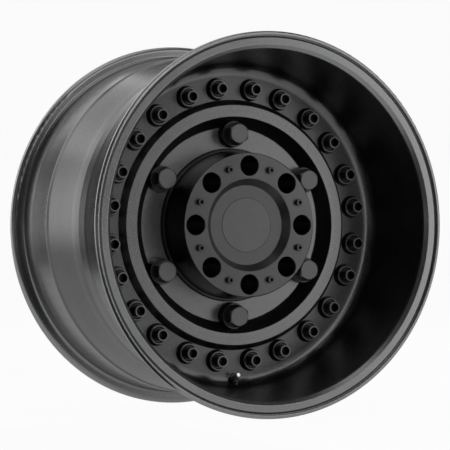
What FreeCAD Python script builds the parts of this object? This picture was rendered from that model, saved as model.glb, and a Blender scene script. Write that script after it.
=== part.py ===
import FreeCAD, Part
import math
import os

# A deep-lip 20 x 12 inch truck wheel, cast in one piece, with its bolts, centre cap and valve.
# Millimetres and degrees. The axle is Y, the dish faces -Y, and the origin is the middle of the wheel.
# Radii are measured from the axle. Depths are measured from the front edge of the lip.

# Hub and lug holes
hub_bore_radius = 62.55
hub_bore_length = 60.0
lug_count = 8
lug_circle_radius = 85.0
lug_pocket_radius = 14.2
lug_hole_radius = 8.2
lug_seat_angle = 60.0
lug_floor = 20.0
hub_edge = 4.1
hub_draft = 3.0
hub_height = 62.7
hub_step_width = 5.2
hub_step_height = 2.6
hub_screw_radius = 3.0
hub_screw_length = 16.0
hub_screw_head_radius = 5.0
hub_screw_head = 6.0
hub_screw_chamfer = 0.5
hub_screw_socket = 5.0
hub_screw_socket_depth = 3.0
pad_core_radius = 10.5
pad_core_length = 90.0

# Disc: bolt face, raised ring and the sunk band inside it
dish_depth = 132.0
disc_thickness = 23.0
band_drop = 9.2
band_margin = 10.1
ring_height = 11.3
ring_width = 16.6
ring_inner_slope = 15.0
ring_outer_slope = 7.6
floor_margin = 17.0
floor_fillet = 16.8
rib_count = 12
rib_angle = 8.0
pocket_wall = 11.0

# Ring bolts and their collars, in close pairs
pair_count = 12
pair_spread = 14.2
collar_base_radius = 16.5
collar_top_radius = 13.9
collar_height = 9.0
collar_seat_radius = 11.3
collar_seat_depth = 4.0
ring_bolt_radius = 5.0
ring_bolt_grip = 14.0
ring_bolt_flange_radius = 10.4
ring_bolt_flange = 2.4
ring_bolt_head_radius = 8.7
ring_bolt_head = 15.3
ring_bolt_chamfer = 0.5
ring_bolt_socket = 11.0
ring_bolt_socket_depth = 9.0

# Hex bolts on tall collars
hex_count = 6
hex_collar_radius = 19.0
hex_collar_height = 14.0
hex_collar_draft = 1.0
hex_collar_bevel = 0.9
hex_washer_radius = 17.0
hex_washer = 3.6
hex_across_flats = 28.0
hex_head = 13.6
hex_chamfer = 0.7
hex_chamfer_slope = 30.0
hex_shank_radius = 9.0
hex_grip = 28.0

# Rim
wheel_width = 325.0
mount_offset = 44.0
dish_taper = 16.0
rim_wall = 6.2
well_wall = 8.5
flange_height = 17.8
flange_thickness = 10.1
lip_recess = 2.6
lip_bead_width = 5.7
lip_groove_width = 1.0
lip_groove_depth = 2.7
lip_face_width = 9.5
seat_fall = 1.6
front_seat_width = 26.0
front_shoulder_fall = 3.9
front_shoulder_width = 10.0
well_front = 16.0
well_back = 5.0
back_seat_width = 28.0
back_step = 99.0
back_step_fall = 4.2
back_step_rise = 2.2
back_step_width = 6.0
back_edge_width = 10.0
back_edge_sunk = 6.0
back_edge_height = 1.0
back_throat = 26.0

# Centre cap
cap_clearance = 0.2
cap_bore_step = 1.5
cap_seat_width = 6.0
cap_seat_depth = 21.5
cap_wall = 2.4
cap_dish_depth = 10.5
cap_dish_radius = 56.9
cap_disc_radius = 39.0
cap_disc_sunk = 1.0
cap_disc_proud = 0.4
cap_finger_count = 8
cap_finger_length = 26.0
cap_finger_slot = 16.0
spring_ring_wire = 1.1

# Valve
valve_tilt = 25.9
valve_inset = 6.5
valve_sunk = 0.2
valve_wall = 14.0
valve_hole_radius = 5.75
valve_recess_radius = 9.0
valve_pocket_radius = 8.8
stem_radius = 4.5
stem_neck_radius = 3.85
stem_shoulder = 9.0
stem_length = 17.5
stem_foot_radius = 7.6
stem_foot = 3.0
stem_bore_radius = 2.65
stem_throat_radius = 2.0
stem_channel_radius = 1.1
stem_throat = 3.0
spring_seat = -4.2
grommet_flange = 3.5
grommet_sleeve = 10.0
valve_washer_radius = 7.3
valve_washer = 1.2
nut_across_flats = 13.0
nut_height = 5.8
core_plug_radius = 2.5
core_plug_length = 11.8
core_plug_sunk = 1.5
core_waist_radius = 2.2
core_waist_length = 4.3
core_gasket_length = 2.0
core_bore_radius = 0.95
pin_radius = 0.65
pin_sunk = 0.6
pin_cup_radius = 1.7
pin_cup = 1.0
seal_thickness = 0.6
spring_coil_radius = 1.35
spring_wire_radius = 0.2
spring_turns = 4
valve_cap_radius = 4.9
valve_cap_crown_radius = 3.6
valve_cap_height = 11.2
valve_cap_roof = 1.9
cap_gasket = 1.0

# Clearances
thread_clearance = 0.15
seat_clearance = 0.1
bolt_clearance = 0.25
hex_collar_gap = 0.5
hex_seat_gap = 0.3
collar_gap = 0.2

# Depths and radii that follow from the sizes above
half_width = wheel_width / 2
mount_depth = half_width + mount_offset
band_depth = dish_depth + band_drop
ring_depth = dish_depth - ring_height
hub_depth = band_depth - hub_height
disc_back = dish_depth + disc_thickness
hub_radius = lug_circle_radius + lug_pocket_radius + hub_edge
hub_base_radius = hub_radius + hub_draft
hub_step_radius = hub_base_radius + hub_step_width
hex_circle_radius = hub_step_radius + hex_collar_radius + hex_collar_draft + hex_collar_gap
band_radius = hex_circle_radius + band_margin
ring_inner_radius = band_radius + ring_inner_slope
ring_outer_radius = ring_inner_radius + ring_width
ring_base_radius = ring_outer_radius + ring_outer_slope
bolt_circle_radius = ring_base_radius + collar_base_radius + collar_gap
floor_radius = bolt_circle_radius + collar_base_radius + floor_margin
mouth_radius = floor_radius + dish_taper
seat_radius = mouth_radius + rim_wall
rim_radius = seat_radius + flange_height
well_radius = floor_radius + well_wall
hex_collar_depth = band_depth - hex_collar_height
cap_bore_radius = hub_bore_radius - cap_bore_step
cap_seat_radius = cap_bore_radius + cap_seat_width
cap_seat = hub_depth + cap_seat_depth

axle = FreeCAD.Vector(0, 1, 0)
origin = FreeCAD.Vector(0, 0, 0)


def rounded_face(corners):
    """Close a flat outline through (x, y, rounding) corners, with an arc at each rounded one."""
    points = [FreeCAD.Vector(x, y, 0) for x, y, rounding in corners]
    starts = []
    ends = []
    edges = []
    for index, point in enumerate(points):
        rounding = corners[index][2]
        back = (points[index - 1] - point).normalize()
        ahead = (points[(index + 1) % len(points)] - point).normalize()
        half_angle = back.getAngle(ahead) / 2
        reach = rounding / math.tan(half_angle)
        starts.append(point + back * reach)
        ends.append(point + ahead * reach)
        if rounding > 0:
            bisector = (back + ahead).normalize()
            crown = point + bisector * (rounding / math.sin(half_angle) - rounding)
            edges.append(Part.Arc(starts[-1], crown, ends[-1]).toShape())
    for index, start in enumerate(starts):
        if (start - ends[index - 1]).Length > 1e-6:
            edges.append(Part.makeLine(ends[index - 1], start))
    return Part.Face(Part.Wire(Part.__sortEdges__(edges)))


def wheel_turned(corners, angle=360.0):
    """Turn an outline of (radius, depth, rounding) corners round the axle."""
    face = rounded_face([(radius, depth - half_width, rounding) for radius, depth, rounding in corners])
    return face.revolve(origin, axle, angle)


def turned(corners):
    """Turn an outline of (radius, height, rounding) corners round the Z axis, heights along +Z."""
    face = rounded_face(corners)
    face.rotate(origin, FreeCAD.Vector(1, 0, 0), 90)
    return face.revolve(origin, FreeCAD.Vector(0, 0, 1), 360)


def hex_bar(across_flats, bottom, top):
    """A hexagonal bar along Z between two heights."""
    corner = across_flats / math.sqrt(3)
    angles = [math.radians(60 * k) for k in range(7)]
    points = [FreeCAD.Vector(corner * math.cos(a), corner * math.sin(a), bottom) for a in angles]
    return Part.Face(Part.makePolygon(points)).extrude(FreeCAD.Vector(0, 0, top - bottom))


def bar(radius, bottom, top):
    """A round bar along Z between two heights."""
    return Part.makeCylinder(radius, top - bottom, FreeCAD.Vector(0, 0, bottom))


def on_wheel(shape, radius, angle, depth):
    """Stand a copy of a Z-up shape on the dish side of the wheel, at a radius, an angle and a depth."""
    placed = shape.copy()
    placed.rotate(origin, FreeCAD.Vector(1, 0, 0), 90)
    placed.translate(FreeCAD.Vector(radius, depth - half_width, 0))
    placed.rotate(origin, axle, -angle)
    return placed


def spread(count, first=0.0):
    """The angles of evenly spaced copies round the axle."""
    return [first + 360.0 * k / count for k in range(count)]


lug_angles = spread(lug_count)
screw_angles = spread(lug_count, 180.0 / lug_count)
hex_angles = spread(hex_count, 180.0 / hex_count)
pair_angles = spread(pair_count, 180.0 / pair_count)
bolt_angles = [angle + side * pair_spread / 2 for angle in pair_angles for side in (-1, 1)]

# The valve stands at the bottom of the dish and leans in towards the axle.
lean = math.radians(valve_tilt)
valve_foot = FreeCAD.Vector(0, dish_depth + valve_sunk - half_width, -(floor_radius - valve_inset))
valve_axis = FreeCAD.Vector(0, -math.cos(lean), math.sin(lean))
valve_place = FreeCAD.Placement(valve_foot, FreeCAD.Rotation(FreeCAD.Vector(0, 0, 1), valve_axis))


def on_valve(shape):
    """Place a shape drawn along Z on the valve's axis, with height 0 at the valve's front seat."""
    placed = shape.copy()
    placed.Placement = valve_place.multiply(placed.Placement)
    return placed


def wheel_casting():
    """The section of the whole wheel, turned once round the axle."""
    back_wall = wheel_width - flange_thickness
    step_depth = wheel_width - back_step
    front_seat_end = flange_thickness + front_seat_width
    bead_inner = rim_radius - lip_bead_width
    groove_inner = bead_inner - lip_groove_width
    face_outer = groove_inner - lip_groove_depth
    face_inner = face_outer - lip_face_width
    bevel = face_inner - mouth_radius
    lip = [
        (face_inner, lip_recess, 1.2),
        (face_outer, lip_recess, 0),
        (groove_inner, lip_recess + lip_groove_depth, 0),
        (bead_inner, lip_recess + lip_groove_depth, 0),
        (bead_inner, 0, 1.5),
        (rim_radius, 0, 4.0),
    ]
    tyre_side = [
        (rim_radius, flange_thickness, 5.5),
        (seat_radius, flange_thickness, 5.0),
        (seat_radius - seat_fall, front_seat_end, 4.0),
        (seat_radius - front_shoulder_fall, front_seat_end + front_shoulder_width, 8.0),
        (well_radius, dish_depth - well_front, 10.0),
        (well_radius, dish_depth + well_back, 10.0),
        (seat_radius - back_step_fall, step_depth, 3.0),
        (seat_radius - back_step_fall + back_step_rise, step_depth + back_step_width, 3.0),
        (seat_radius - seat_fall, back_wall - back_seat_width, 10.0),
        (seat_radius, back_wall, 5.0),
        (rim_radius, back_wall, 7.5),
    ]
    brake_side = [
        (rim_radius, wheel_width, 1.8),
        (rim_radius - back_edge_width, wheel_width, 2.5),
        (seat_radius + back_edge_height, wheel_width - back_edge_sunk, 5.0),
        (seat_radius - rim_wall - back_edge_height, wheel_width - back_throat, 14.0),
        (seat_radius - rim_wall - 5.0, step_depth, 20.0),
        (floor_radius - 3.5, disc_back, 18.0),
        (band_radius, disc_back + 3, 12.0),
        (hub_base_radius + 3, disc_back + 20, 10.0),
        (hub_base_radius + 1, mount_depth, 2.0),
    ]
    hub = [
        (hub_bore_radius + 1.5, mount_depth, 0),
        (hub_bore_radius, mount_depth - 1.5, 0),
        (hub_bore_radius, mount_depth - hub_bore_length, 0),
        (cap_bore_radius, mount_depth - hub_bore_length, 0),
        (cap_bore_radius, cap_seat, 0),
        (cap_seat_radius, cap_seat, 0),
        (cap_seat_radius, hub_depth, 0),
        (hub_radius, hub_depth, 1.4),
        (hub_base_radius, band_depth - hub_step_height, 1.2),
        (hub_step_radius - 1.5, band_depth - hub_step_height, 0),
        (hub_step_radius, band_depth, 0),
    ]
    face = [
        (band_radius, band_depth, 1.5),
        (ring_inner_radius, ring_depth, 0.7),
        (ring_outer_radius, ring_depth, 0.7),
        (ring_base_radius, dish_depth, 1.0),
        (floor_radius, dish_depth, floor_fillet),
        (mouth_radius, lip_recess + bevel, 1.0),
    ]
    return wheel_turned(lip + tyre_side + brake_side + hub + face)


def back_pocket():
    """One of the weight-saving pockets behind the disc, between two ribs."""
    sector = 360.0 / rib_count - rib_angle
    pocket = wheel_turned([
        (hub_base_radius + 9, band_depth + pocket_wall, 0),
        (band_radius + 4, band_depth + pocket_wall, 0),
        (ring_inner_radius + 3, ring_depth + pocket_wall, 0),
        (ring_outer_radius - 3, ring_depth + pocket_wall, 0),
        (ring_base_radius + 3, dish_depth + pocket_wall, 0),
        (ring_base_radius + 5, mount_depth, 0),
        (hub_base_radius + 9, mount_depth, 0),
    ], sector)
    pocket.rotate(origin, axle, -sector / 2)
    return pocket


def wheel_body():
    """The casting with its holes and pockets cut."""
    seat_height = (lug_pocket_radius - lug_hole_radius) / math.tan(math.radians(lug_seat_angle / 2))
    lug_length = mount_depth - hub_depth
    lug_tool = turned([
        (0, -lug_length - 1, 0),
        (lug_hole_radius, -lug_length - 1, 0),
        (lug_hole_radius, lug_floor - lug_length, 0),
        (lug_pocket_radius, lug_floor + seat_height - lug_length, 0),
        (lug_pocket_radius, -0.8, 0),
        (lug_pocket_radius + 1.8, 1, 0),
        (0, 1, 0),
    ])
    screw_tool = bar(hub_screw_radius + bolt_clearance, -hub_screw_length - 2, 1)
    core_tool = bar(pad_core_radius, 0, pad_core_length)
    bolt_tool = bar(ring_bolt_radius + bolt_clearance, -ring_bolt_grip - 2, 1)
    hex_tool = bar(hex_shank_radius + bolt_clearance, -hex_grip - 2, 1)
    hex_seat_radius = hex_collar_radius + hex_collar_draft + hex_seat_gap
    hex_seat_tool = bar(hex_seat_radius, -hex_collar_height, 2 * hex_collar_height)

    tools = [on_wheel(lug_tool, lug_circle_radius, angle, hub_depth) for angle in lug_angles]
    tools += [on_wheel(screw_tool, lug_circle_radius, angle, hub_depth) for angle in screw_angles]
    tools += [on_wheel(core_tool, lug_circle_radius, angle, mount_depth) for angle in screw_angles]
    tools += [on_wheel(bolt_tool, bolt_circle_radius, angle, dish_depth) for angle in bolt_angles]
    tools += [on_wheel(hex_tool, hex_circle_radius, angle, hex_collar_depth) for angle in hex_angles]
    tools += [on_wheel(hex_seat_tool, hex_circle_radius, angle, hex_collar_depth) for angle in hex_angles]
    for angle in spread(rib_count, 180.0 / rib_count):
        pocket = back_pocket()
        pocket.rotate(origin, axle, -angle)
        tools.append(pocket)
    pocket_reach = (seat_radius - floor_radius + valve_inset) / math.sin(lean) + 2 * valve_pocket_radius
    tools.append(on_valve(bar(valve_hole_radius, -valve_wall - 1, 1)))
    tools.append(on_valve(bar(valve_recess_radius, 0, 3 * valve_recess_radius)))
    tools.append(on_valve(bar(valve_pocket_radius, -valve_wall - pocket_reach, -valve_wall)))
    return wheel_casting().cut(tools).removeSplitter()


def ring_collar():
    """A conical collar with a sunk seat for the bolt's flange, standing on height 0."""
    return turned([
        (ring_bolt_radius + bolt_clearance, 0, 0),
        (collar_base_radius, 0, 0),
        (collar_top_radius, collar_height - 0.6, 0),
        (collar_top_radius - 0.6, collar_height, 0),
        (collar_seat_radius + 1, collar_height, 0),
        (collar_seat_radius, collar_height - 1, 0),
        (collar_seat_radius, collar_height - collar_seat_depth, 0),
        (ring_bolt_radius + bolt_clearance, collar_height - collar_seat_depth, 0),
    ])


def ring_bolt():
    """A tall socket-head bolt with a flange, drawn on the same height 0 as its collar."""
    seat = collar_height - collar_seat_depth
    shoulder = seat + ring_bolt_flange
    top = shoulder + ring_bolt_head
    mouth = ring_bolt_socket / math.sqrt(3) + 0.3
    bolt = turned([
        (0, -ring_bolt_grip, 0),
        (ring_bolt_radius, -ring_bolt_grip, 0),
        (ring_bolt_radius, seat, 0),
        (ring_bolt_flange_radius, seat, 0),
        (ring_bolt_flange_radius, shoulder, 0),
        (ring_bolt_head_radius, shoulder, 0),
        (ring_bolt_head_radius, top - 2 * ring_bolt_chamfer, 0),
        (ring_bolt_head_radius - ring_bolt_chamfer, top, 0),
        (mouth, top, 0),
        (mouth - 0.8, top - 0.8, 0),
        (0, top - 0.8, 0),
    ])
    return bolt.cut(hex_bar(ring_bolt_socket, top - ring_bolt_socket_depth, top))


def hub_screw():
    """A small socket-head screw standing on the hub face, its head above height 0."""
    screw = turned([
        (0, -hub_screw_length, 0),
        (hub_screw_radius, -hub_screw_length, 0),
        (hub_screw_radius, 0, 0),
        (hub_screw_head_radius, 0, 0),
        (hub_screw_head_radius, hub_screw_head - hub_screw_chamfer, 0),
        (hub_screw_head_radius - hub_screw_chamfer, hub_screw_head, 0),
        (0, hub_screw_head, 0),
    ])
    return screw.cut(hex_bar(hub_screw_socket, hub_screw_head - hub_screw_socket_depth, hub_screw_head + 1))


def hex_collar():
    """A tall tapered collar whose top is height 0, where the washer lies."""
    bore = hex_shank_radius + bolt_clearance
    return turned([
        (bore, -hex_collar_height, 0),
        (hex_collar_radius + hex_collar_draft, -hex_collar_height, 0),
        (hex_collar_radius, -hex_collar_bevel, 0),
        (hex_collar_radius - hex_collar_bevel, 0, 0),
        (bore, 0, 0),
    ])


def hex_washer_ring():
    """A flat washer standing on height 0."""
    return turned([
        (hex_shank_radius + bolt_clearance, 0, 0),
        (hex_washer_radius, 0, 0),
        (hex_washer_radius, hex_washer - 0.8, 0),
        (hex_washer_radius - 0.8, hex_washer, 0),
        (hex_shank_radius + bolt_clearance, hex_washer, 0),
    ])


def hex_bolt():
    """A hex-head bolt with chamfered corners, its head standing on the washer."""
    top = hex_washer + hex_head
    flat = hex_across_flats / 2
    corner = hex_across_flats / math.sqrt(3)
    crown = flat - hex_chamfer
    reach = corner + 1
    drop = (reach - crown) * math.tan(math.radians(hex_chamfer_slope))
    chamfer = turned([
        (0, hex_washer, 0),
        (reach, hex_washer, 0),
        (reach, top - drop, 0),
        (crown, top, 0),
        (0, top, 0),
    ])
    head = hex_bar(hex_across_flats, hex_washer, top).common(chamfer)
    return head.fuse(bar(hex_shank_radius, -hex_grip, hex_washer)).removeSplitter()


def centre_cap():
    """A dished cap: rim, bevel and floor, with a skirt slotted into snap fingers behind."""
    rim = cap_seat_radius - cap_clearance
    skirt = cap_bore_radius - cap_clearance
    floor = hub_depth + cap_dish_depth
    finger_end = cap_seat + cap_finger_length
    body = wheel_turned([
        (0, floor + cap_disc_sunk, 0),
        (cap_disc_radius + cap_clearance, floor + cap_disc_sunk, 0),
        (cap_disc_radius + cap_clearance, floor, 0),
        (cap_dish_radius, floor, 1.0),
        (rim - 0.6, hub_depth + 0.2, 0),
        (rim, hub_depth + 0.2, 0),
        (rim, cap_seat, 0),
        (skirt, cap_seat, 0),
        (skirt, finger_end, 0),
        (skirt - cap_wall, finger_end, 0),
        (skirt - cap_wall, floor + cap_disc_sunk + cap_wall, 0),
        (0, floor + cap_disc_sunk + cap_wall, 0),
    ])
    slot_length = finger_end - cap_seat - 2
    slot = Part.makeBox(cap_wall * 4, cap_finger_slot, slot_length + 2)
    slot.translate(FreeCAD.Vector(-cap_wall * 2, -cap_finger_slot / 2, -2))
    slots = [on_wheel(slot, skirt - cap_wall / 2, angle, finger_end) for angle in spread(cap_finger_count)]
    return body.cut(slots)


def cap_disc():
    """The round inlay in the middle of the cap, left bare."""
    top = hub_depth + cap_dish_depth
    return wheel_turned([
        (0, top - cap_disc_proud, 0),
        (cap_disc_radius - 0.4, top - cap_disc_proud, 0),
        (cap_disc_radius, top - cap_disc_proud + 0.4, 0),
        (cap_disc_radius, top + cap_disc_sunk, 0),
        (0, top + cap_disc_sunk, 0),
    ])


def cap_spring_ring():
    """The wire ring that lies inside the fingers and presses them out."""
    centre = cap_bore_radius - cap_clearance - cap_wall - spring_ring_wire - seat_clearance
    depth = cap_seat + cap_finger_length * 0.6
    return Part.makeTorus(centre, spring_ring_wire, FreeCAD.Vector(0, depth - half_width, 0), axle)


def valve_stem():
    """The valve's tube: foot in the tyre, body through the wall, threaded neck for the cap."""
    foot_top = -valve_wall - grommet_flange
    foot_bottom = foot_top - stem_foot
    return turned([
        (stem_channel_radius, foot_bottom, 0),
        (stem_foot_radius - 0.8, foot_bottom, 0),
        (stem_foot_radius, foot_bottom + 0.8, 0),
        (stem_foot_radius, foot_top, 0),
        (stem_radius, foot_top, 0),
        (stem_radius, stem_shoulder, 0),
        (stem_neck_radius, stem_shoulder, 0),
        (stem_neck_radius, stem_length - 0.4, 0),
        (stem_neck_radius - 0.4, stem_length, 0),
        (stem_bore_radius, stem_length, 0),
        (stem_bore_radius, stem_throat, 0),
        (stem_throat_radius, stem_throat - 1.0, 0),
        (stem_throat_radius, spring_seat, 0),
        (stem_channel_radius, spring_seat, 0),
    ])


def valve_grommet():
    """The rubber seal: a flange in the tyre and a sleeve in the hole."""
    return turned([
        (stem_radius + seat_clearance, -valve_wall - grommet_flange, 0),
        (stem_foot_radius, -valve_wall - grommet_flange, 0),
        (stem_foot_radius, -valve_wall, 0),
        (valve_hole_radius - seat_clearance, -valve_wall, 0),
        (valve_hole_radius - seat_clearance, grommet_sleeve - valve_wall, 0),
        (stem_radius + seat_clearance, grommet_sleeve - valve_wall, 0),
    ])


def valve_washer_ring():
    """The washer under the nut, on the valve's front seat."""
    return turned([
        (stem_radius + seat_clearance, 0, 0),
        (valve_washer_radius, 0, 0),
        (valve_washer_radius, valve_washer, 0),
        (stem_radius + seat_clearance, valve_washer, 0),
    ])


def valve_nut():
    """The hex nut on the stem, chamfered on its outer side."""
    top = valve_washer + nut_height
    flat = nut_across_flats / 2
    corner = nut_across_flats / math.sqrt(3)
    chamfer = turned([
        (stem_radius + seat_clearance, valve_washer, 0),
        (corner + 0.5, valve_washer, 0),
        (corner + 0.5, top - 1.0, 0),
        (flat, top, 0),
        (stem_radius + seat_clearance, top, 0),
    ])
    return hex_bar(nut_across_flats, valve_washer, top).common(chamfer)


core_top = stem_length - core_plug_sunk
core_bottom = core_top - core_plug_length
seal_top = core_bottom - 0.02
cup_top = seal_top - seal_thickness
cup_bottom = cup_top - pin_cup
pin_top = stem_length - pin_sunk


def valve_core_plug():
    """The core's plug: a threaded head over a waist that carries the gasket."""
    waist_top = core_bottom + core_waist_length
    plug = turned([
        (core_bore_radius, core_bottom, 0),
        (core_waist_radius, core_bottom, 0),
        (core_waist_radius, waist_top, 0),
        (core_plug_radius, waist_top, 0),
        (core_plug_radius, core_top, 0),
        (core_bore_radius, core_top, 0),
    ])
    key = Part.makeBox(3 * core_plug_radius, 2 * pin_radius, 2.0)
    key.translate(FreeCAD.Vector(-1.5 * core_plug_radius, -pin_radius, core_top - 1.2))
    return plug.cut(key)


def valve_core_gasket():
    """The sealing ring round the plug's waist."""
    bottom = core_bottom + core_waist_length - core_gasket_length
    return turned([
        (core_waist_radius + 0.02, bottom, 0),
        (stem_bore_radius - 0.02, bottom, 0),
        (stem_bore_radius - 0.02, bottom + core_gasket_length, 0),
        (core_waist_radius + 0.02, bottom + core_gasket_length, 0),
    ])


def valve_core_pin():
    """The pin with the cup that carries the seal and takes the spring."""
    return turned([
        (0, spring_seat, 0),
        (pin_radius, spring_seat, 0),
        (pin_radius, cup_bottom, 0),
        (pin_cup_radius, cup_bottom, 0),
        (pin_cup_radius, cup_top, 0),
        (pin_radius, cup_top, 0),
        (pin_radius, pin_top, 0),
        (0, pin_top, 0),
    ])


def valve_core_seal():
    """The rubber washer on the cup, shut against the plug."""
    return turned([
        (pin_radius + 0.02, cup_top, 0),
        (pin_cup_radius, cup_top, 0),
        (pin_cup_radius, seal_top, 0),
        (pin_radius + 0.02, seal_top, 0),
    ])


def valve_core_spring():
    """The coil between the stem's seat and the pin's cup."""
    bottom = spring_seat + spring_wire_radius + 0.02
    length = cup_bottom - spring_wire_radius - 0.02 - bottom
    coil = Part.makeHelix(length / spring_turns, length, spring_coil_radius)
    inner = spring_coil_radius - spring_wire_radius
    outer = spring_coil_radius + spring_wire_radius
    half = spring_wire_radius
    section = [(inner, -half), (outer, -half), (outer, half), (inner, half), (inner, -half)]
    wire = Part.makePolygon([FreeCAD.Vector(radius, 0, height) for radius, height in section])
    spring = Part.Wire(coil.Edges).makePipeShell([wire], True, True)
    spring.translate(FreeCAD.Vector(0, 0, bottom))
    return spring


gasket_bottom = stem_length + 0.05
cap_roof = gasket_bottom + cap_gasket + 0.05
cap_rim = stem_shoulder + 0.3


def valve_cap():
    """The metal cap, threaded on the stem's neck, tapering to a rounded crown."""
    top = max(cap_rim + valve_cap_height, cap_roof + valve_cap_roof)
    bore = stem_neck_radius + thread_clearance
    return turned([
        (bore, cap_rim, 0),
        (valve_cap_radius, cap_rim, 0),
        (valve_cap_radius - 0.3, cap_roof - 2, 0),
        (valve_cap_crown_radius, top - 0.7, 0),
        (valve_cap_crown_radius - 1.0, top, 0),
        (0, top, 0),
        (0, cap_roof, 0),
        (bore, cap_roof, 0),
    ])


def valve_cap_gasket():
    """The washer inside the cap, resting on the end of the stem."""
    outer = stem_neck_radius + thread_clearance - 0.05
    return turned([
        (0, gasket_bottom, 0),
        (outer, gasket_bottom, 0),
        (outer, gasket_bottom + cap_gasket, 0),
        (0, gasket_bottom + cap_gasket, 0),
    ])


def around(shape, radius, angles, depth):
    """Separate copies of one fastener, grouped."""
    return Part.makeCompound([on_wheel(shape, radius, angle, depth) for angle in angles])


pieces = {
    "wheel_body": wheel_body(),
    "ring_collars": around(ring_collar(), bolt_circle_radius, bolt_angles, dish_depth),
    "ring_bolts": around(ring_bolt(), bolt_circle_radius, bolt_angles, dish_depth),
    "hub_screws": around(hub_screw(), lug_circle_radius, screw_angles, hub_depth),
    "hex_collars": around(hex_collar(), hex_circle_radius, hex_angles, hex_collar_depth),
    "hex_washers": around(hex_washer_ring(), hex_circle_radius, hex_angles, hex_collar_depth),
    "hex_bolts": around(hex_bolt(), hex_circle_radius, hex_angles, hex_collar_depth),
    "centre_cap": centre_cap(),
    "cap_disc": cap_disc(),
    "cap_spring_ring": cap_spring_ring(),
    "valve_stem": on_valve(valve_stem()),
    "valve_grommet": on_valve(valve_grommet()),
    "valve_washer": on_valve(valve_washer_ring()),
    "valve_nut": on_valve(valve_nut()),
    "valve_core_plug": on_valve(valve_core_plug()),
    "valve_core_gasket": on_valve(valve_core_gasket()),
    "valve_core_pin": on_valve(valve_core_pin()),
    "valve_core_seal": on_valve(valve_core_seal()),
    "valve_core_spring": on_valve(valve_core_spring()),
    "valve_cap": on_valve(valve_cap()),
    "valve_cap_gasket": on_valve(valve_cap_gasket()),
}

os.makedirs("parts", exist_ok=True)
for name, shape in pieces.items():
    shape.exportStep(f"parts/{name}.step")
    print(name, len(shape.Solids), "solids,", round(shape.Volume / 1000, 2), "cm3, valid", shape.isValid())
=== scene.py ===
# %% [markdown]
# # Dressing a deep-lip truck wheel
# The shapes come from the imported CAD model, which stays fixed. This lesson gives each piece the
# finish of the real one: satin black powder coat on the casting, black plating on the bolts and
# collars, and finishes of their own on the centre cap and the valve. A small white studio follows.

# %% Load the frame
import math

import bpy
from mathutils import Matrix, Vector


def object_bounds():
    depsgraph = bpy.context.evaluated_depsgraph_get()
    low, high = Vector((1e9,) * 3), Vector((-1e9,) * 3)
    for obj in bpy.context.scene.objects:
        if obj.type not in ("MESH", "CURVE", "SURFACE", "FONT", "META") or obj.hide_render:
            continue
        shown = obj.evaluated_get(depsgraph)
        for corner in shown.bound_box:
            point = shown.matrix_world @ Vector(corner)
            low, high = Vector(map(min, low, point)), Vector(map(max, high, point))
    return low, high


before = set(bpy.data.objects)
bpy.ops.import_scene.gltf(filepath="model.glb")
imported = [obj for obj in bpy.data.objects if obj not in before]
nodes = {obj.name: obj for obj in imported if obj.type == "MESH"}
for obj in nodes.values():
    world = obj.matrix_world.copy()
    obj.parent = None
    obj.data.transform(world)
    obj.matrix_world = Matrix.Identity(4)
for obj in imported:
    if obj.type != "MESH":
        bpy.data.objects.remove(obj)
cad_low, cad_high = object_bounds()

print("nodes:", len(nodes), "box:", [round(v, 4) for v in (*cad_low, *cad_high)])

# %% [markdown]
# ## Shader maths in plain Python
# A surface that varies is a web of small nodes. Wiring each one by hand hides the idea, so a
# small class wraps a socket and lets Python's own operators add the Math nodes. `1 - mask`
# works too, because the reflected operators are there. Every other node comes from one method.

# %% A socket that can be added, scaled and compared
class Flow:
    """A value on a surface, carried by a socket of one node tree."""

    def __init__(self, surface, socket):
        self.surface = surface
        self.socket = socket

    def maths(self, operation, first, second):
        return self.surface.node("ShaderNodeMath", {"operation": operation}, {0: first, 1: second})

    def __add__(self, other):
        return self.maths("ADD", self, other)

    def __radd__(self, other):
        return self.maths("ADD", other, self)

    def __sub__(self, other):
        return self.maths("SUBTRACT", self, other)

    def __rsub__(self, other):
        return self.maths("SUBTRACT", other, self)

    def __mul__(self, other):
        return self.maths("MULTIPLY", self, other)

    def __rmul__(self, other):
        return self.maths("MULTIPLY", other, self)

    def __truediv__(self, other):
        return self.maths("DIVIDE", self, other)

    def __pow__(self, other):
        return self.maths("POWER", self, other)

    def __mod__(self, other):
        return self.maths("FLOORED_MODULO", self, other)

    def __or__(self, other):
        return self.maths("MAXIMUM", self, other)

    def __abs__(self):
        return self.maths("ABSOLUTE", self, 0.0)

    def sine(self):
        return self.maths("SINE", self, 0.0)

    def cosine(self):
        return self.maths("COSINE", self, 0.0)


class Surface:
    """A node tree whose nodes all come from one method."""

    def __init__(self, owner):
        owner.use_nodes = True
        self.owner = owner
        self.tree = owner.node_tree

    def node(self, kind, settings, sockets, output=0):
        made = self.tree.nodes.new(kind)
        for name, value in settings.items():
            setattr(made, name, value)
        for name, value in sockets.items():
            if isinstance(value, Flow):
                self.tree.links.new(value.socket, made.inputs[name])
            else:
                made.inputs[name].default_value = value
        return Flow(self, made.outputs[output])

    def other_output(self, flow, name):
        return Flow(self, flow.socket.node.outputs[name])


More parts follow.
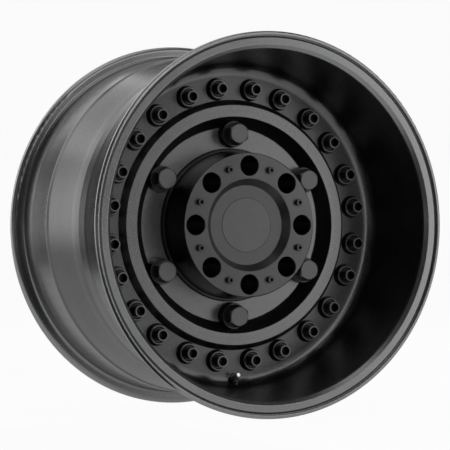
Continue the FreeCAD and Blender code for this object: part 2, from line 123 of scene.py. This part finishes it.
class Finish(Surface):
    """A material built round one Principled shader, with the constants set on its own sockets."""

    def __init__(self, name, constants):
        super().__init__(bpy.data.materials.new(name))
        self.shader = self.tree.nodes["Principled BSDF"]
        for socket, value in constants.items():
            self.shader.inputs[socket].default_value = value

    def feed(self, socket, flow):
        self.tree.links.new(flow.socket, self.shader.inputs[socket])

    def place(self):
        return self.node("ShaderNodeTexCoord", {}, {}, "Object")

    def noise(self, place, scale, detail):
        return self.node("ShaderNodeTexNoise", {}, {
            "Vector": place, "Scale": scale, "Detail": detail}, "Fac")

    def axes(self, place):
        x = self.node("ShaderNodeSeparateXYZ", {}, {"Vector": place}, "X")
        return x, self.other_output(x, "Y"), self.other_output(x, "Z")

    def fade(self, flow, start, end):
        return self.node("ShaderNodeMapRange", {"interpolation_type": "SMOOTHSTEP"}, {
            "Value": flow, "From Min": start, "From Max": end})

    def between(self, flow, start, end, soft):
        return self.fade(flow, start - soft, start + soft) * (1.0 - self.fade(flow, end - soft, end + soft))

    def off_axis(self, x, z, circle, count, first, half_spread):
        """Distance from the axis of the nearest of a ring of holes or fasteners, single or in pairs."""
        step = math.tau / count
        turn = x.maths("ARCTAN2", z, x)
        aside = abs((turn - first + step / 2) % step - step / 2) - half_spread
        radius = (x * x + z * z) ** 0.5
        outward = radius * aside.cosine() - circle
        across = radius * aside.sine()
        return (outward * outward + across * across) ** 0.5

    def tint(self, factor, dark, light):
        return self.node("ShaderNodeMix", {"data_type": "RGBA"}, {
            "Factor": factor, "A": (*dark, 1.0), "B": (*light, 1.0)}, "Result")

    def bump(self, height, strength, distance):
        self.feed("Normal", self.node("ShaderNodeBump", {}, {
            "Strength": strength, "Distance": distance, "Height": height}))


def grey(value):
    """A grey with a trace of blue."""
    return (value, value, value * 1.02)


def outer_end(node_name):
    """Depth of the end of a CAD node that faces out of the dish."""
    return min(corner[1] for corner in nodes[node_name].bound_box)


def wear(node_name, finish):
    """Give a CAD node one finish in place of its packed one."""
    mesh = nodes[node_name].data
    mesh.materials.clear()
    mesh.materials.append(finish.owner)


print("shader helpers ready")

# %% [markdown]
# ## Satin powder coat
# The casting is blasted, then coated in a fine satin powder: black with a metallic cast. It could
# be one plain dark metal, but on the real wheel the lip, the barrel and the raised ring were turned
# before coating, so they keep fine lines and the lip and the ring look paler than the cast faces.
# Steep walls, slopes and the lug pockets get painted shade, a darker colour. The zones are found from
# the radius about the axle and the depth along it. Grain and a slow orange peel break up the sheen.

# %% Where the zones of the casting begin and end, in metres
LIP_FRONT = outer_end("wheel_body")
LIP_EDGE = (0.2465, 0.2485)
BEAD_EDGE = (0.2655, 0.2665)
DISH_RADIUS = 0.2475
DISH_TAPER = 0.121
DISH_WALL = (0.2270, 0.2340)
DISH_FLOOR = (-0.030, -0.026)
BARREL_FRONT = (LIP_FRONT + 0.012, LIP_FRONT + 0.016)
BARREL_SKIN = (0.002, 0.004)
BARREL_LEAST = (0.2375, 0.2395)
SEAT_EDGE = (0.2505, 0.2525)
FRONT_SLOPE = (0.2415, 0.2515)
FRONT_SLOPE_END = (-0.02, 0.0)
RING_TOP = (0.1565, 0.1745)
RING_SLOPE = (0.1425, 0.1562)
BAND = (0.112, 0.1425)
HUB_EDGE = (0.109, 0.111)
HUB_WALL = (0.1015, 0.1112)
HUB_FACE = -0.0840
HUB_WALL_FRONT = (HUB_FACE + 0.001, HUB_FACE + 0.003)
LUG_RING = (0.085, 8, 0.0, 0.0)
LUG_POCKET = (0.0158, 0.0170)
LUG_DEEP = (HUB_FACE, HUB_FACE + 0.008)


def casting_zones(coat, y, radius):
    """How far a point lies in each zone of the casting, from 0 to 1."""
    lip = coat.fade(radius, *LIP_EDGE)
    past_wall = radius + DISH_TAPER * (y - LIP_FRONT) - DISH_RADIUS
    barrel = coat.fade(past_wall, *BARREL_SKIN) * coat.fade(y, *BARREL_FRONT)
    barrel = barrel * coat.fade(radius, *BARREL_LEAST)
    in_dish = (1.0 - lip) * (1.0 - barrel) * (1.0 - coat.fade(y, *DISH_FLOOR))
    front_slope = coat.between(radius, *FRONT_SLOPE, 0.0006) * (1.0 - coat.fade(y, *FRONT_SLOPE_END))
    return {
        "lip": lip * (1.0 - barrel),
        "bead": coat.fade(radius, *BEAD_EDGE),
        "barrel": barrel,
        "seat": barrel * coat.fade(radius, *SEAT_EDGE),
        "front_slope": barrel * front_slope,
        "ring": coat.between(radius, *RING_TOP, 0.0008),
        "band": coat.between(radius, *BAND, 0.001),
        "hub": 1.0 - coat.fade(radius, *HUB_EDGE),
        # The last three zones carry painted shade: the walls and the ring's slope are darkened in colour.
        "dish_wall_painted_shade": in_dish * coat.fade(radius, *DISH_WALL),
        "hub_wall_painted_shade": coat.between(radius, *HUB_WALL, 0.0004) * coat.fade(y, *HUB_WALL_FRONT),
        "ring_slope_painted_shade": coat.between(radius, *RING_SLOPE, 0.0006),
    }


print("zones start at depth", round(LIP_FRONT, 4))

# %% [markdown]
# ## How pale each zone is
# The coat's tone runs from black to a pale metal. Bare cast faces have the plain tone. Every zone
# adds its own share to it or takes some away, so the zones can overlap without a hard edge. Separate
# materials for the zones would need cuts in the mesh, which is fixed.

# %% Powder coat on the casting
COAT_BLACK = (0.03, 0.03, 0.031)
COAT_PALE = (0.38, 0.382, 0.388)
PLAIN_TONE = 0.26
ZONE_TONES = {
    "lip": 0.44, "bead": 0.14, "barrel": -0.01, "seat": 0.44, "front_slope": 0.26,
    "ring": 0.24, "band": 0.20, "hub": -0.04,
    # Painted shade: these negative tones darken the dish wall, the hub wall and the ring's slope.
    "dish_wall_painted_shade": -0.15, "hub_wall_painted_shade": -0.18, "ring_slope_painted_shade": -0.17,
}


def powder_coat():
    coat = Finish("satin_powder_coat", {"Metallic": 0.9, "IOR": 1.5})
    place = coat.place()
    x, y, z = coat.axes(place)
    radius = (x * x + z * z) ** 0.5
    grain = coat.noise(place, 1500.0, 2.0)
    peel = coat.noise(place, 260.0, 2.0)
    cloud = coat.noise(place, 11.0, 4.0)
    profile = coat.node("ShaderNodeCombineXYZ", {}, {"X": radius, "Y": y})
    lines = coat.noise(profile, 900.0, 2.0)
    zones = casting_zones(coat, y, radius)
    tone = PLAIN_TONE
    for name, zone in zones.items():
        tone = tone + ZONE_TONES[name] * zone
    turned = zones["lip"] | zones["barrel"] | zones["ring"]
    tone = tone + 0.16 * (cloud - 0.5) + 0.22 * (grain - 0.5) + 0.20 * turned * (lines - 0.5)
    # Painted shade: the coat's colour goes black deep inside the lug pockets.
    off_lug = coat.off_axis(x, z, *LUG_RING)
    lug_pocket_painted_shade = (1.0 - coat.fade(off_lug, *LUG_POCKET)) * coat.fade(y, *LUG_DEEP)
    tone = tone * (1.0 - lug_pocket_painted_shade)
    coat.feed("Base Color", coat.tint(tone, COAT_BLACK, COAT_PALE))
    coat.feed("Roughness", 0.28 + 0.08 * (cloud - 0.5) + 0.12 * (grain - 0.5))
    coat.bump(0.6 * grain + 0.4 * peel + 0.2 * lines, 0.22, 0.00025)
    return coat


wear("wheel_body", powder_coat())
print("powder coat on wheel_body, zones:", len(ZONE_TONES))

# %% [markdown]
# ## Hex bolts, centre cap and valve
# The hex bolts and the moulded cap are sprayed in a satin black like the casting's. The valve has a
# black stem, brass, rubber and spring steel inside, and a bright plated cap. Each could have its own
# web of nodes, but one function with a tint, a gloss and a grain for each is shorter to read, and
# none of the pieces ends up as a flat colour.

# %% One recipe for the small pieces
def small_finish(name, dark, light, metallic, rough, grain_scale, grain_depth):
    finish = Finish(name, {"Metallic": metallic})
    place = finish.place()
    grain = finish.noise(place, grain_scale, 3.0)
    cloud = finish.noise(place, grain_scale * 0.06, 3.0)
    finish.feed("Base Color", finish.tint(0.5 * grain + 0.5 * cloud, dark, light))
    finish.feed("Roughness", rough + 0.15 * (cloud - 0.5) + 0.1 * (grain - 0.5))
    finish.bump(grain, 0.3, grain_depth)
    return finish


hex_coat = small_finish("hex_coat", grey(0.10), grey(0.165), 0.9, 0.36, 2200.0, 0.00015)
cap_moulding = small_finish("cap_moulding", grey(0.085), grey(0.14), 0.9, 0.36, 2400.0, 0.00012)
cap_inlay = small_finish("cap_inlay", grey(0.10), grey(0.155), 0.9, 0.34, 2400.0, 0.0001)
spring_wire = small_finish("spring_wire", grey(0.3), grey(0.5), 1.0, 0.28, 3000.0, 0.00005)
turned_brass = small_finish(
    "turned_brass", (0.5, 0.34, 0.13), (0.72, 0.52, 0.24), 1.0, 0.25, 4000.0, 0.00004)
valve_black = small_finish("valve_black", grey(0.02), grey(0.06), 0.8, 0.3, 3000.0, 0.00005)
seal_rubber = small_finish("seal_rubber", grey(0.012), grey(0.03), 0.0, 0.75, 2500.0, 0.0001)
core_seal = small_finish("core_seal", (0.45, 0.05, 0.03), (0.6, 0.09, 0.05), 0.0, 0.6, 3000.0, 0.00005)
bright_plate = small_finish("bright_plate", grey(0.72), grey(0.92), 1.0, 0.30, 3000.0, 0.00003)

worn_by = {
    hex_coat: ["hex_bolts"],
    cap_moulding: ["centre_cap"],
    cap_inlay: ["cap_disc"],
    spring_wire: ["cap_spring_ring", "valve_core_spring"],
    turned_brass: ["valve_core_plug", "valve_core_pin"],
    valve_black: ["valve_stem", "valve_washer", "valve_nut"],
    seal_rubber: ["valve_grommet", "valve_core_seal", "valve_cap_gasket"],
    core_seal: ["valve_core_gasket"],
    bright_plate: ["valve_cap"],
}
for finish, names in worn_by.items():
    for name in names:
        wear(name, finish)
print("small finishes:", len(worn_by))

# %% [markdown]
# ## Black plating on the fasteners
# The socket bolts, screws, washers and collars are turned steel, plated black. The rims at their ends
# get a painted highlight, and the bottom of a socket gets painted shade. Painting each of the 68
# pieces by hand would be slow, and they all share one recipe: the distance from the nearest piece's
# axis and the depth below its outer end tell where a point lies on it.

# %% One recipe for the plated fasteners
def plated(name, node_name, ring, rim, hollow, rim_highlight):
    """rim: radii of the painted rim highlight. hollow: radius of the painted socket shade. Last: highlight
    strength.
    """
    end = outer_end(node_name)
    finish = Finish(name, {"Metallic": 0.92})
    place = finish.place()
    x, y, z = finish.axes(place)
    off_axis = finish.off_axis(x, z, *ring)
    grain = finish.noise(place, 1800.0, 3.0)
    cloud = finish.noise(place, 120.0, 3.0)
    at_end = 1.0 - finish.fade(y, end + 0.0006, end + 0.0014)
    # Painted highlight: the rim at the outer end is made paler, where the chamfer would catch light.
    rim_painted_highlight = at_end * finish.between(off_axis, *rim, 0.0003)
    # Painted shade: the colour is made nearly black at the bottom of a socket.
    socket_painted_shade = (1.0 - finish.fade(off_axis, hollow - 0.0004, hollow)) * finish.fade(y, end, end + 0.002)
    tone = (0.11 + 0.16 * (grain - 0.5) + 0.12 * (cloud - 0.5) + rim_highlight * rim_painted_highlight) * (1.0 - 0.9 * socket_painted_shade)
    finish.feed("Base Color", finish.tint(tone, grey(0.008), grey(0.40)))
    finish.feed("Roughness", 0.24 + 0.10 * (grain - 0.5) + 0.06 * rim_painted_highlight)
    finish.bump(grain, 0.3, 0.0001)
    return finish


# Each ring: circle radius, count, first angle and half the spread of a pair.
BOLT_PAIRS = (0.198, 12, math.radians(15.0), math.radians(7.1))
HEX_RING = (0.132, 6, math.radians(30.0), 0.0)
SCREW_RING = (0.085, 8, math.radians(22.5), 0.0)
# Each entry: finish name, ring, radii of the painted rim highlight, socket radius, highlight strength.
plating = {
    "ring_bolts": ("bolt_plating", BOLT_PAIRS, (0.0064, 0.0090), 0.0064, 0.32),
    "ring_collars": ("collar_plating", BOLT_PAIRS, (0.0114, 0.0142), 0.0112, 0.42),
    "hex_collars": ("hex_collar_plating", HEX_RING, (0.0174, 0.0193), 0.0170, 0.20),
    "hex_washers": ("washer_plating", HEX_RING, (0.0160, 0.0172), 0.0095, 0.12),
    "hub_screws": ("screw_plating", SCREW_RING, (0.0029, 0.0052), 0.0028, 0.12),
}
for node_name, (name, ring, rim, hollow, rim_highlight) in plating.items():
    wear(node_name, plated(name, node_name, ring, rim, hollow, rim_highlight))
print("plated nodes:", len(plating))

# %% [markdown]
# ## A small white studio
# The wheel stands on a pale floor in front of a white backdrop. To the camera both glow at a strength
# of one, so they are white whatever the lamps do, and they throw no light on the wheel. A real white
# cove would wash the dark coat out, so in reflections the floor glows less than half as strongly as
# the backdrop. A small share of plain paint is left in both, so the floor shows the soft shadow.

# %% Floor and backdrop
def flat_panel(name, corners):
    mesh = bpy.data.meshes.new(name)
    mesh.from_pydata([tuple(corner) for corner in corners], [], [(0, 1, 2, 3)])
    panel = bpy.data.objects.new(name, mesh)
    bpy.context.scene.collection.objects.link(panel)
    return panel


def studio_white(name, paint_share, mirror_share):
    """White to the camera. paint_share: how much shadow it shows. mirror_share: its glow in reflections."""
    white = Surface(bpy.data.materials.new(name))
    white.tree.nodes.remove(white.tree.nodes["Principled BSDF"])
    paint = white.node("ShaderNodeBsdfDiffuse", {}, {"Color": (0.95, 0.95, 0.95, 1.0)})
    glow = white.node("ShaderNodeEmission", {}, {"Strength": 1.0})
    seen = white.node("ShaderNodeLightPath", {}, {}, "Is Camera Ray")
    mirrored = white.other_output(seen, "Is Glossy Ray")
    through = white.other_output(seen, "Is Transmission Ray")
    share = (seen | through | mirrored * mirror_share) * (1.0 - paint_share)
    mixed = white.node("ShaderNodeMixShader", {}, {"Fac": share, 1: paint, 2: glow})
    white.tree.links.new(mixed.socket, white.tree.nodes["Material Output"].inputs["Surface"])
    return white.owner


PAINT_SHARE = 0.04
FLOOR = cad_low.z - 0.0005
SIDE = 9.0
BACK = 6.5
FOOT = FLOOR - 1.0
TOP = 8.0
floor = flat_panel("floor", [
    (-SIDE, -SIDE, FLOOR), (SIDE, -SIDE, FLOOR), (SIDE, SIDE, FLOOR), (-SIDE, SIDE, FLOOR)])
floor.data.materials.append(studio_white("floor_white", PAINT_SHARE, 0.45))
backdrop = flat_panel("backdrop", [
    (-SIDE, BACK, FOOT), (SIDE, BACK, FOOT), (SIDE, BACK, TOP), (-SIDE, BACK, TOP)])
backdrop.data.materials.append(studio_white("backdrop_white", PAINT_SHARE, 1.0))
print("stage set, floor at", round(FLOOR, 4))

# %% [markdown]
# ## Lamps
# Dark metal shows little but what it mirrors, so the lamps are placed by reflection. The wide box on
# the right is what the flat faces mirror towards the camera. The one behind on the left lights the
# barrel, and a weak one on the left catches the rounded corner of the dish. A narrow strip and a high
# box in front draw light along the rounded edges. The boxes above, at the side and at the rear are for
# the wheel's other sides. A lamp's power follows from its size and how brightly its face glows.

# %% Softboxes
def softbox(name, place, aim, width, height, glow):
    lamp = bpy.data.lights.new(name, "AREA")
    lamp.shape = "RECTANGLE"
    lamp.size = width
    lamp.size_y = height
    lamp.energy = glow * math.pi * width * height
    box = bpy.data.objects.new(name, lamp)
    box.location = place
    box.rotation_euler = (Vector(aim) - Vector(place)).to_track_quat("-Z", "Y").to_euler()
    box.visible_camera = False
    bpy.context.scene.collection.objects.link(box)


softbox("softbox_right", (1.53, -1.455, 0.55), (0.18, 0.145, 0.1), 1.7, 3.2, 1.0)
softbox("softbox_back_left", (-1.6, 1.5, 0.7), (-0.24, 0, 0), 1.7, 3.2, 1.0)
softbox("softbox_left", (-2.3, -0.8, 0.3), (0, 0, 0), 0.8, 2.0, 0.22)
softbox("softbox_top", (-0.3, 0.2, 2.4), (0, 0, 0), 2.8, 2.0, 0.9)
softbox("softbox_side", (2.3, 0.9, 0.8), (0.2, 0, 0), 1.6, 2.8, 0.8)
softbox("softbox_rear", (1.0, 2.9, 1.2), (0, 0.1, 0), 1.4, 1.6, 0.8)
softbox("softbox_strip", (0.10, -2.3, 0.35), (0, 0, 0), 0.40, 2.2, 2.0)
softbox("softbox_front_high", (0.1, -2.1, 1.5), (0, -0.1, 0), 2.0, 0.9, 0.9)
print("lamps:", len(bpy.data.lights))

# %% [markdown]
# ## Black cards
# A photographer darkens a shiny edge with a black card that the edge mirrors. Two stand behind the
# wheel, for the front slope and the top of the barrel, and one lies on the floor in front on the left,
# for the bead. Darker paint on those edges would also work, but only from this one side. The camera
# doesn't see the cards.

# %% Cards that only reflections see
card_black = Finish("card_black", {"Base Color": (0.01, 0.01, 0.01, 1.0), "Roughness": 0.9})


def black_card(name, corners):
    card = flat_panel(name, corners)
    card.data.materials.append(card_black.owner)
    card.visible_camera = False
    return card


BEHIND = 1.0
LEVEL = FLOOR + 0.002
black_card("card_behind", [
    (-0.74, BEHIND, -0.26), (0.1, BEHIND, -0.26), (0.1, BEHIND, 0.5), (-0.74, BEHIND, 0.5)])
black_card("card_behind_right", [
    (0.1, BEHIND, 0.35), (0.5, BEHIND, 0.35), (0.5, BEHIND, 0.8), (0.1, BEHIND, 0.8)])
floor_card = black_card("card_on_floor", [
    (-2.6, -2.0, LEVEL), (-0.16, -2.0, LEVEL), (-0.16, -0.1, LEVEL), (-2.6, -0.1, LEVEL)])
floor_card.visible_shadow = False
print("cards: 3")

# %% [markdown]
# ## The room
# Past the floor and the backdrop the camera sees a white room, so the wheel is on white from every
# side. To the wheel the same room is nearly dark, because its light would come from everywhere and
# flatten the shapes.

# %% A room that is white to the camera
world = bpy.data.worlds.new("studio")
room = Surface(world)
dim = room.node("ShaderNodeBackground", {}, {"Color": (1.0, 1.0, 1.0, 1.0), "Strength": 0.02})
bright = room.node("ShaderNodeBackground", {}, {"Color": (1.0, 1.0, 1.0, 1.0), "Strength": 1.0})
seen = room.node("ShaderNodeLightPath", {}, {}, "Is Camera Ray")
shown = room.node("ShaderNodeMixShader", {}, {"Fac": seen, 1: dim, 2: bright})
room.tree.links.new(shown.socket, room.tree.nodes["World Output"].inputs["Surface"])
bpy.context.scene.world = world
bpy.context.scene.view_settings.view_transform = "Standard"
print("room:", world.name)

# %% [markdown]
# ## The camera
# The photograph was taken level with the axle, from the left of the dish, with a long lens. A shorter
# lens from nearby would make the lip look much larger than the back flange.

# %% Camera
VIEW_ANGLE = math.radians(26.25)
camera_data = bpy.data.cameras.new("camera")
camera_data.sensor_width = 36.0
camera_data.lens = 176.0
camera = bpy.data.objects.new("camera", camera_data)
camera.location = (-1.4223, -2.8885, 0.0)
look = Vector((math.sin(VIEW_ANGLE), math.cos(VIEW_ANGLE), 0.0))
camera.rotation_euler = look.to_track_quat("-Z", "Y").to_euler()
bpy.context.scene.collection.objects.link(camera)
bpy.context.scene.camera = camera
print("camera", [round(v, 3) for v in camera.location])
